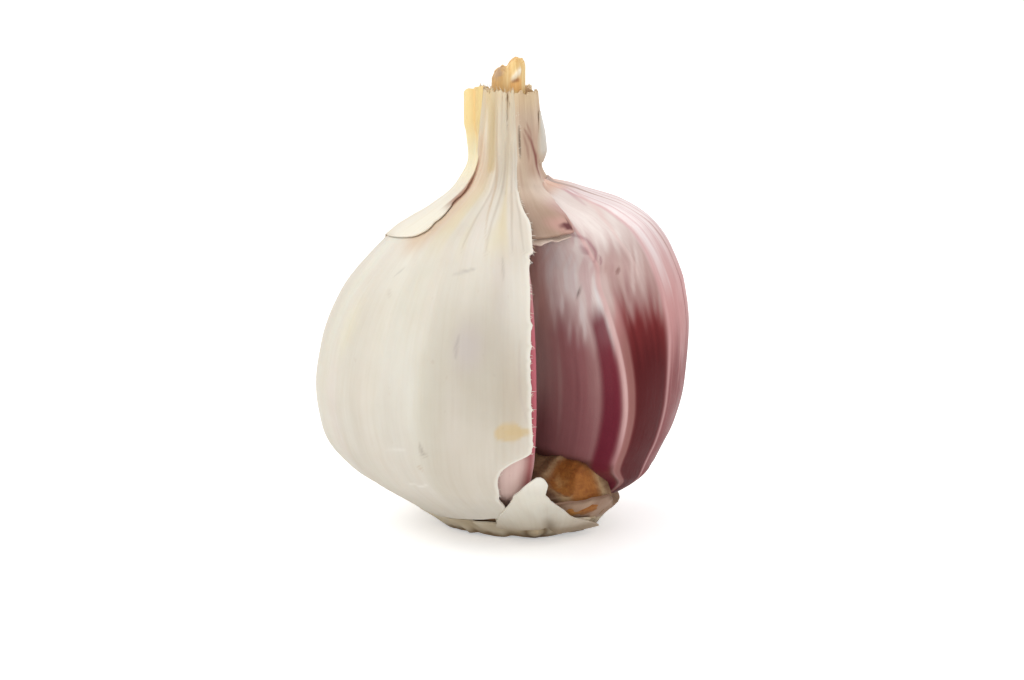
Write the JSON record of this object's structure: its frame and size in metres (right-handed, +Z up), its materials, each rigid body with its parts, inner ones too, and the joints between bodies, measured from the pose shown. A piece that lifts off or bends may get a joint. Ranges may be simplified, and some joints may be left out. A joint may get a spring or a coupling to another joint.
{
  "type": "garlic bulb",
  "caption": "Whole garlic bulb with one clove pulled out, torn white skin, purple cloves and a trimmed neck.",
  "frame": {"origin": "centre of the flat trimmed underside of the basal plate, where the bulb rests", "axes": "+Z up along the flower stalk; the open seat of the missing clove faces -Y"},
  "size_m": [0.0578, 0.0583, 0.0723],
  "materials": {
    "outer_skin": "matte",
    "cream_leaf": "matte",
    "inner_leaf": "matte",
    "clove_skin": "satin",
    "basal_plate": "matte",
    "stalk_wood": "matte"
  },
  "bodies": {
    "root": {"basal_plate": "basal_plate", "flower_stalk": "stalk_wood", "clove_1": "clove_skin", "clove_2": "clove_skin", "clove_3": "clove_skin", "clove_4": "clove_skin", "clove_5": "clove_skin", "clove_6": "clove_skin", "clove_7": "clove_skin", "clove_8": "clove_skin", "clove_9": "clove_skin", "outer_skin": "outer_skin", "inner_sheath": "inner_leaf", "torn_outer_leaf": "cream_leaf", "base_collar": "outer_skin", "base_flap": "outer_skin", "base_inner_cup": "inner_leaf", "neck_film": "outer_skin", "root_stub_01": "stalk_wood", "root_stub_02": "stalk_wood", "root_stub_03": "stalk_wood", "root_stub_04": "stalk_wood", "root_stub_05": "stalk_wood", "root_stub_06": "stalk_wood", "root_stub_07": "stalk_wood", "root_stub_08": "stalk_wood", "root_stub_09": "stalk_wood", "root_stub_10": "stalk_wood", "root_stub_11": "stalk_wood", "root_stub_12": "stalk_wood"}
  },
  "joints": []
}
